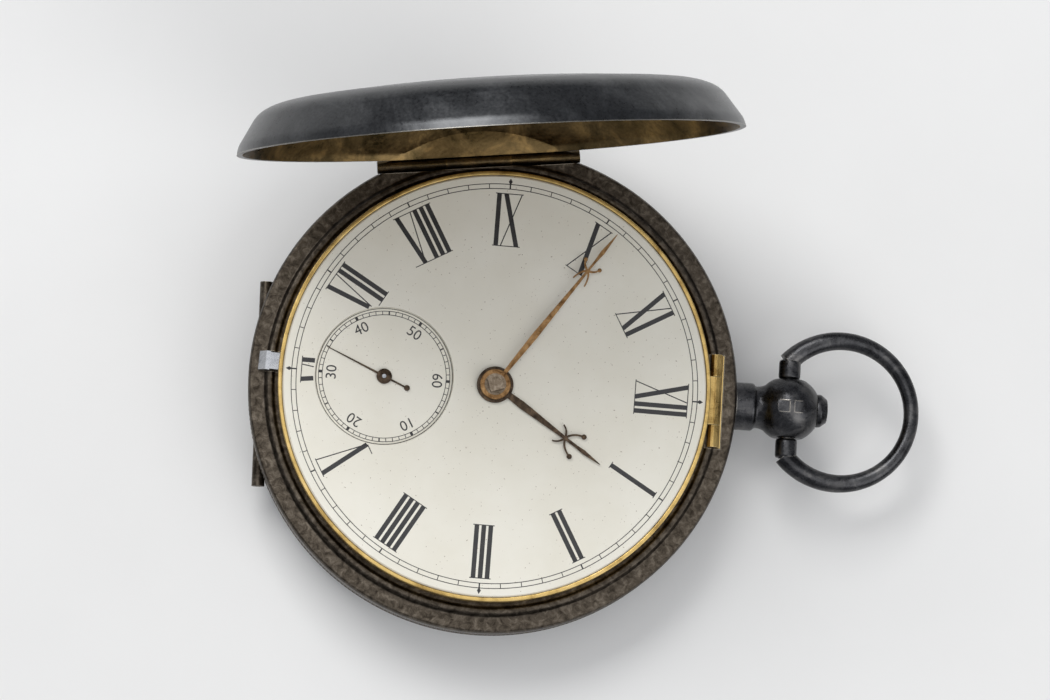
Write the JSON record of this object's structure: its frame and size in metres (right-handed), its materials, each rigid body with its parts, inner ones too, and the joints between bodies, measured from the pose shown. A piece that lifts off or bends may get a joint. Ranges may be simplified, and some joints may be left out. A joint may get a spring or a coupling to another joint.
{
  "type": "pocket watch",
  "caption": "Key-wound full-hunter pocket watch with hinged covers, enamel dial with seconds, bow, and a fusee lever movement that swings out of its case.",
  "frame": {"origin": "centre of the flat on the back cover's outer face, on the axis of the dial and the centre arbor", "axes": "+X from the centre to the pendant and XII, +Y towards the front cover's hinge, +Z out of the dial"},
  "size_m": [0.0717, 0.0545, 0.0576],
  "materials": {
    "silver": "silver, heavily tarnished outside, yellowed inside the covers",
    "steel": "polished steel",
    "brass": "plain brass, dulled",
    "gilt": "fire-gilt brass",
    "enamel": "white vitreous enamel on copper, numerals fired on",
    "blued_steel": "blued spring steel",
    "bronze": "gilt hand, worn to brown",
    "dark_steel": "steel, browned"
  },
  "bodies": {
    "case": {"case_middle": "silver", "inner_dome": "silver", "pendant": "silver", "front_hinge_knuckle": "silver", "front_hinge_pin": "steel", "back_hinge_knuckle": "silver", "back_hinge_pin": "steel", "movement_joint_seat": "brass", "movement_joint_pin": "steel", "lock_spring": "steel", "fly_spring": "steel"},
    "front_cover": {"front_cover": "silver", "front_cover_knuckle_a": "silver", "front_cover_knuckle_b": "silver"},
    "back_cover": {"back_cover": "silver", "back_cover_knuckle_a": "silver", "back_cover_knuckle_b": "silver"},
    "push_piece": {"push_piece": "silver"},
    "bow": {"bow": "silver"},
    "movement": {"pillar_plate": "brass", "top_plate": "gilt", "barrel_bridge": "gilt", "pillar_1": "brass", "pillar_2": "brass", "pillar_3": "brass", "pillar_4": "brass", "movement_joint_leaf": "brass", "brass_edge": "gilt", "dial": "enamel", "seconds_dial": "enamel", "potence": "brass", "balance_cock": "gilt", "hairspring": "blued_steel", "barrel_arbor": "steel", "setup_ratchet": "steel", "fusee_chain": "steel", "minute_wheel_stud": "steel"},
    "movement_bolt": {"movement_bolt": "steel"},
    "centre_train": {"centre_wheel": "brass", "centre_arbor": "steel", "cannon_pinion": "steel", "minute_hand": "bronze"},
    "third_train": {"third_wheel": "brass", "third_arbor": "steel"},
    "fourth_train": {"fourth_wheel": "brass", "fourth_arbor": "steel", "seconds_hand": "dark_steel"},
    "escape_train": {"escape_wheel": "brass", "escape_arbor": "steel"},
    "lever": {"pallet_lever": "steel"},
    "balance": {"balance_wheel": "gilt", "balance_staff": "steel"},
    "barrel": {"barrel": "brass", "mainspring": "blued_steel"},
    "fusee": {"fusee_cone": "brass", "great_wheel": "brass", "fusee_arbor": "steel"},
    "minute_train": {"minute_wheel": "brass"},
    "hour_train": {"hour_wheel": "brass", "hour_hand": "dark_steel"}
  },
  "joints": [
    {"name": "front_cover_hinge", "type": "hinge", "parent": "case", "child": "front_cover", "pos_m": [-0.00282, 0.02333, 0.00935], "axis": [-0.9928, -0.1201, 0], "range_deg": [-84.5, 0], "stiffness_Nm_per_rad": 0.004, "springref_deg": 34.38},
    {"name": "back_cover_hinge", "type": "hinge", "parent": "case", "child": "back_cover", "pos_m": [-0.0236, -0.00045, 0.0046], "axis": [-0.0192, 0.9998, 0], "range_deg": [0, 95]},
    {"name": "movement_swing", "type": "hinge", "parent": "case", "child": "movement", "pos_m": [0.0227, 0, 0.0106], "axis": [0, 1, 0], "range_deg": [0, 72]},
    {"name": "bow_pivot", "type": "hinge", "parent": "case", "child": "bow", "pos_m": [0.0306, 0, 0.00725], "axis": [0, 1, 0], "range_deg": [-65, 65]},
    {"name": "push_slide", "type": "slide", "parent": "case", "child": "push_piece", "axis": [-1, 0, 0], "range_m": [0, 0.0007], "stiffness_N_per_m": 60, "springref_m": -0.001, "deforming": ["lock_spring"]},
    {"name": "bolt_slide", "type": "slide", "parent": "movement", "child": "movement_bolt", "axis": [0.9984, -0.0558, 0], "range_m": [0, 0.0008], "stiffness_N_per_m": 20, "springref_m": -0.001},
    {"name": "centre_spin", "type": "hinge", "parent": "movement", "child": "centre_train", "pos_m": [0, 0, 0.0097], "axis": [0, 0, -1], "continuous": true},
    {"name": "third_spin", "type": "hinge", "parent": "movement", "child": "third_train", "pos_m": [-0.00639, 0.00332, 0.0078], "axis": [0, 0, -1], "continuous": true},
    {"name": "fourth_spin", "type": "hinge", "parent": "movement", "child": "fourth_train", "pos_m": [-0.01128, 0.00024, 0.0069], "axis": [0, 0, -1], "continuous": true},
    {"name": "escape_spin", "type": "hinge", "parent": "movement", "child": "escape_train", "pos_m": [-0.00994, -0.00448, 0.0062], "axis": [0, 0, -1], "continuous": true},
    {"name": "fusee_spin", "type": "hinge", "parent": "movement", "child": "fusee", "pos_m": [0.00513, 0.00611, 0.009], "axis": [0, 0, -1], "continuous": true, "deforming": ["fusee_chain"]},
    {"name": "barrel_spin", "type": "hinge", "parent": "movement", "child": "barrel", "pos_m": [0.0065, -0.0105, 0.0075], "axis": [0, 0, -1], "continuous": true, "deforming": ["mainspring"]},
    {"name": "minute_wheel_spin", "type": "hinge", "parent": "movement", "child": "minute_train", "pos_m": [0.0024, 0.00416, 0.0113], "axis": [0, 0, -1], "continuous": true},
    {"name": "hour_spin", "type": "hinge", "parent": "movement", "child": "hour_train", "pos_m": [0, 0, 0.0119], "axis": [0, 0, -1], "continuous": true},
    {"name": "lever_rock", "type": "hinge", "parent": "movement", "child": "lever", "pos_m": [-0.00739, -0.00665, 0.0062], "axis": [0, 0, -1], "range_deg": [-4, 4]},
    {"name": "balance_swing", "type": "hinge", "parent": "movement", "child": "balance", "pos_m": [-0.00362, -0.00929, 0.0039], "axis": [0, 0, -1], "range_deg": [-200, 200], "stiffness_Nm_per_rad": 0.000004, "deforming": ["hairspring"]}
  ],
  "couplings": [
    {"joint": "third_spin", "follows": "centre_spin", "ratio": -8},
    {"joint": "fourth_spin", "follows": "centre_spin", "ratio": 60},
    {"joint": "escape_spin", "follows": "centre_spin", "ratio": -540},
    {"joint": "fusee_spin", "follows": "centre_spin", "ratio": -0.16667},
    {"joint": "barrel_spin", "follows": "centre_spin", "ratio": -0.10689},
    {"joint": "minute_wheel_spin", "follows": "centre_spin", "ratio": -0.33333},
    {"joint": "hour_spin", "follows": "centre_spin", "ratio": 0.083333}
  ]
}
